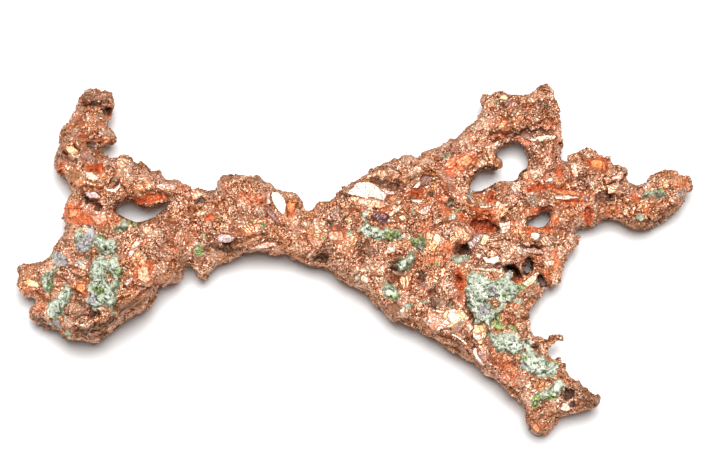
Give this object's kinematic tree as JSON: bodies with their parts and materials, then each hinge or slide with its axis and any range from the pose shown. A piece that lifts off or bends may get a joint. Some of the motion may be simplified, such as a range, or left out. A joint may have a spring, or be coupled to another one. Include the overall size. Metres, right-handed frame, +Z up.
{
  "type": "native copper nugget",
  "caption": "Flat branching native copper nugget: thick lobe with a hooked arm, neck, holed body, square prong, side arm and forked leg, with pale green mineral crusts.",
  "frame": {"origin": "under the middle of the nugget's bounding box, on the surface that it rests on", "axes": "+X along the nugget from the hooked arm to the side arm, +Y towards the prong, +Z up from its broad resting side"},
  "size_m": [0.123, 0.0652, 0.0171],
  "materials": {
    "native_copper": null,
    "pale_crust": "matt, grainy, pale grey-green",
    "green_crust": "matt, grainy, yellow-green",
    "quartz": "clouded, slightly glossy, pale lilac grey"
  },
  "bodies": {
    "root": {"hook_arm": "native_copper", "left_lobe": "native_copper", "neck": "native_copper", "body": "native_copper", "top_prong": "native_copper", "right_arm": "native_copper", "leg": "native_copper", "crust_lobe_twig": "pale_crust", "crust_lobe_front": "pale_crust", "quartz_lobe_back": "quartz", "crust_lobe_back": "green_crust", "crust_lobe_centre": "pale_crust", "crust_gap_edge": "pale_crust", "crust_body_back": "pale_crust", "crust_body_middle": "green_crust", "crust_body_grey": "pale_crust", "crust_body_front": "pale_crust", "crust_leg_root": "pale_crust", "crust_leg_middle": "pale_crust", "crust_leg_side": "pale_crust", "crust_foot": "green_crust", "crust_right_arm": "pale_crust"}
  },
  "joints": []
}
